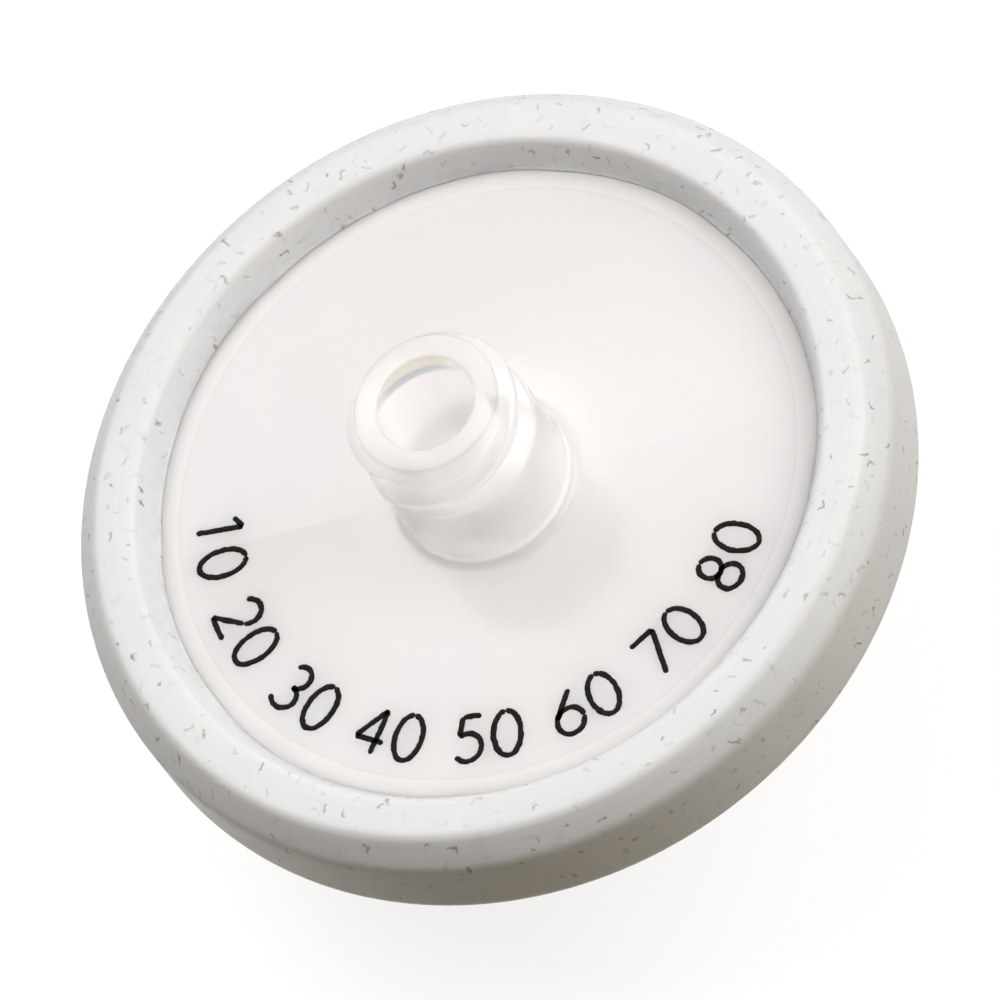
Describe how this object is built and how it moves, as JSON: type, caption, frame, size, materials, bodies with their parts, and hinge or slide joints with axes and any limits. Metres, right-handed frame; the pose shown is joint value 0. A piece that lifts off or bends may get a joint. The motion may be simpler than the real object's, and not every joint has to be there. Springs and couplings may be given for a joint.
{
  "type": "syringe filter",
  "caption": "Disc syringe filter: two clear housing halves clamp a membrane inside a white moulded ring, with a female Luer lock inlet and a male Luer slip outlet.",
  "frame": {"origin": "centre of the inlet hub's mouth, where a syringe holds the filter", "axes": "+Z along the flow axis, from the outlet tip up to the inlet mouth"},
  "size_m": [0.0356, 0.0356, 0.0221],
  "materials": {
    "flecked_white_plastic": "moulded white polypropylene with short dark fibre flecks, soft sheen",
    "clear_housing_plastic": "natural milky polypropylene, translucent, smooth moulded surface",
    "membrane": "matt white filter membrane"
  },
  "bodies": {
    "root": {"overmould_ring": "flecked_white_plastic", "inlet_housing": "clear_housing_plastic", "outlet_housing": "clear_housing_plastic", "membrane": "membrane"}
  },
  "joints": []
}
